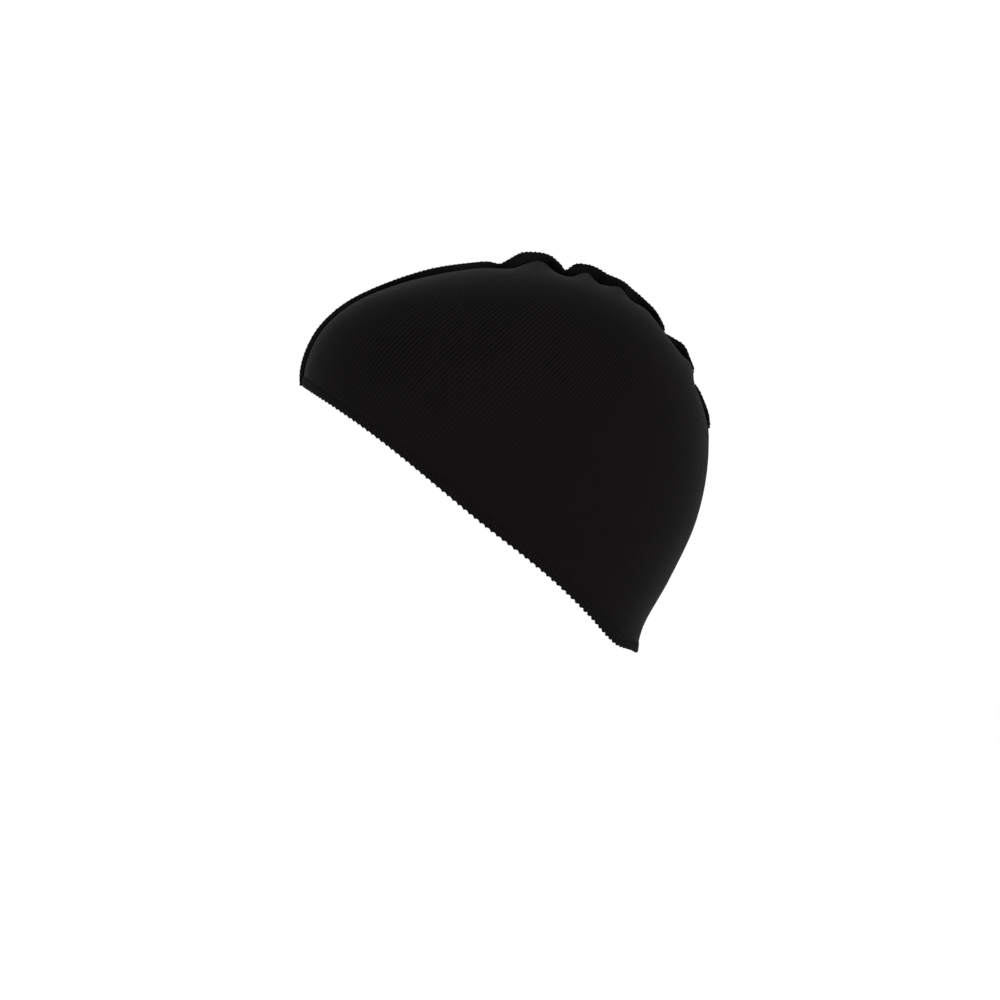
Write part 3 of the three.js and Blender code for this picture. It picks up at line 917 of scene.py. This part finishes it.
class WIGCAP_OT_hem(bpy.types.Operator):
    """Build the overlocked edge round the open end"""

    bl_idname = "wigcap.hem"
    bl_label = "Hem edge"

    def execute(self, context):
        knit, edge = context.scene.wigcap_knit, context.scene.wigcap_edge
        shares, wale = wale_columns(knit.rib_pitch / MM)
        wall, tooth = knit.wall / MM, edge.tooth / MM
        middle, half = -wall / 2, wall / 2 + edge.proud / MM
        cut = level_row(0, shares)
        length = lengths(cut)
        places = hem_places(length[-1], edge.front_pitch / MM, edge.rear_pitch / MM)
        # The edge swells at each stitch.
        swell = 0.1 + 0.5 * np.cos(2 * math.pi * np.interp(length, places, np.arange(len(places))))
        rings = []
        for rise, share, _ in HEM_SECTION:
            row = level_row(rise, shares)
            upward = unit(level_row(rise + 1, shares) - level_row(rise - 1, shares))
            normal = np.cross(np.gradient(row, axis=0), upward)
            normal[0, 0] = normal[-1, 0] = 0
            row = row - tooth * max(0, 1 - rise / TOOTH_RISE) * swell[:, None] * upward
            rings.append(row + outward(unit(normal), row) * (middle + half * share))
        grid = np.stack(rings, 1)
        whole = np.concatenate([grid, grid[-2:0:-1] * (-1, 1, 1)])
        total, count = len(whole), len(HEM_SECTION)
        band = new_object("hem_band", whole.reshape(-1, 3), ring_faces(total, count, closed=True))
        across = np.repeat(np.concatenate([wale, wale[-2:0:-1]]), count)
        strength = np.tile(HEM_SECTION[:, 2], total)
        put_ribs(band.data, across, strength, np.tile(-HEM_SECTION[:, 0] * MM / knit.course, total))
        shade_smooth(band.data)
        finish = shared(bpy.data.materials, "Knitted nylon rib", knit_material, knit.colour, knit.valley_shade)
        band.data.materials.append(finish)
        tree = shared(bpy.data.node_groups, "Knit ribs", rib_tree)
        values = {"Rib height": knit.rib_height, "Unevenness": RIB_UNEVENNESS, "Material": finish}
        apply_tree(band, tree, values)
        finish_piece(band, "hem_edge")
        # One loop over the edge for each stitch.
        at = on_line(places, length, cut)
        way = way_on(places, length, cut, 0.5)
        out = square_to(at - on_line(places, length, level_row(2, shares)), way)
        normal = outward(np.cross(way, out), at)
        at = both_sides(at + normal * middle + out * (0.4 * tooth))
        out, way, size = both_sides(out), both_sides(way), np.ones_like(at)
        depth = half + LOOP_CLEARANCE
        loop = thread_loop("hem loop", half_width=0.9, depth=depth, leg=2.6, bend=0.35, swell=0.15)
        thread = thread_material("Overlock thread of the hem", edge.hem_thread, edge.hem_fuzz)
        stitches = sew("hem_stitches", at, out, way, size, loop, seed=7, unevenness=0.12, thread=thread)
        finish_piece(stitches, "hem_edge")
        return {"FINISHED"}


def disc(radii, sides, up):
    """Points and faces of a flat disc in rings, in metres."""
    points = [(0, 0, up)]
    faces = []
    for ring, radius in enumerate(radii):
        here, before = 1 + ring * sides, 1 + (ring - 1) * sides
        for k in range(sides):
            n = (k + 1) % sides
            angle = 2 * math.pi * k / sides
            points.append((radius * math.cos(angle), radius * math.sin(angle), up))
            if ring:
                faces.append((before + k, here + k, here + n, before + n))
            else:
                faces.append((0, here + k, here + n))
    return points, faces


class WIGCAP_OT_stage(bpy.types.Operator):
    """Set the paper floor, the white world, the soft lights and the camera"""

    bl_idname = "wigcap.stage"
    bl_label = "Stage"

    def execute(self, context):
        stage, scene = context.scene.wigcap_stage, context.scene
        points, faces = disc(FLOOR_RADII, FLOOR_SIDES, stage.floor)
        floor = new_object("paper_floor", np.array(points) / MM, faces)
        floor.data.materials.append(paper_material(stage.paper))

        world = bpy.data.worlds.new("Studio")
        world.use_nodes = True
        world.node_tree.nodes["Background"].inputs["Color"].default_value = (1.0, 1.0, 1.0, 1.0)
        world.node_tree.nodes["Background"].inputs["Strength"].default_value = 1.0
        scene.world = world
        scene.view_settings.view_transform = "Standard"

        # Each softbox: place and aim in metres, side in metres, power in watts.
        lights = [
            ("overhead softbox", (0.2, -0.1, 1.3), (0, 0, -0.08), 1.4, 0.7),
            ("camera-side softbox", (1.9, -1.1, 0.7), (0, 0, -0.1), 1.2, 0.7),
            ("low rear softbox", (1.1, 1.5, -0.2), (0, 0, -0.12), 0.6, 30),
            ("low front softbox", (1.1, -1.5, -0.2), (0, 0, -0.12), 0.6, 22),
        ]
        for name, place, target, size, power in lights:
            light = bpy.data.lights.new(name, "AREA")
            light.shape = "SQUARE"
            light.size = size
            light.energy = power
            lamp = bpy.data.objects.new(name, light)
            lamp.location = place
            lamp.rotation_euler = (Vector(target) - Vector(place)).to_track_quat("-Z", "Y").to_euler()
            scene.collection.objects.link(lamp)

        camera = bpy.data.cameras.new("camera")
        camera.sensor_width = 36
        camera.lens = camera.sensor_width / stage.width * stage.distance
        camera.clip_end = 50
        stand = bpy.data.objects.new("camera", camera)
        stand.location = (stage.distance, 0, stage.middle)
        stand.rotation_euler = (math.pi / 2, 0, math.pi / 2)
        scene.collection.objects.link(stand)
        scene.camera = stand
        return {"FINISHED"}


class WIGCAP_PT_panel(bpy.types.Panel):
    """Lists the steps and their sizes"""

    bl_idname = "WIGCAP_PT_panel"
    bl_label = "Wig cap"
    bl_space_type = "VIEW_3D"
    bl_region_type = "UI"
    bl_category = "Wig cap"

    def draw(self, context):
        for settings, steps in (
            (context.scene.wigcap_knit, ("wigcap.knit",)),
            (context.scene.wigcap_edge, ("wigcap.seam", "wigcap.hem")),
            (context.scene.wigcap_stage, ("wigcap.stage",)),
        ):
            box = self.layout.box()
            for name in settings.__annotations__:
                box.prop(settings, name)
            for step in steps:
                box.operator(step)


CLASSES = (
    KnitSettings, EdgeSettings, StageSettings, WIGCAP_OT_knit, WIGCAP_OT_seam, WIGCAP_OT_hem, WIGCAP_OT_stage,
    WIGCAP_PT_panel,
)


def register():
    for cls in CLASSES:
        bpy.utils.register_class(cls)
    bpy.types.Scene.wigcap_knit = bpy.props.PointerProperty(type=KnitSettings)
    bpy.types.Scene.wigcap_edge = bpy.props.PointerProperty(type=EdgeSettings)
    bpy.types.Scene.wigcap_stage = bpy.props.PointerProperty(type=StageSettings)


def unregister():
    del bpy.types.Scene.wigcap_stage
    del bpy.types.Scene.wigcap_edge
    del bpy.types.Scene.wigcap_knit
    for cls in reversed(CLASSES):
        bpy.utils.unregister_class(cls)


def main():
    register()
    bpy.ops.wigcap.stage()
    bpy.ops.wigcap.knit()
    bpy.ops.wigcap.seam()
    bpy.ops.wigcap.hem()


if __name__ == "__main__":
    main()
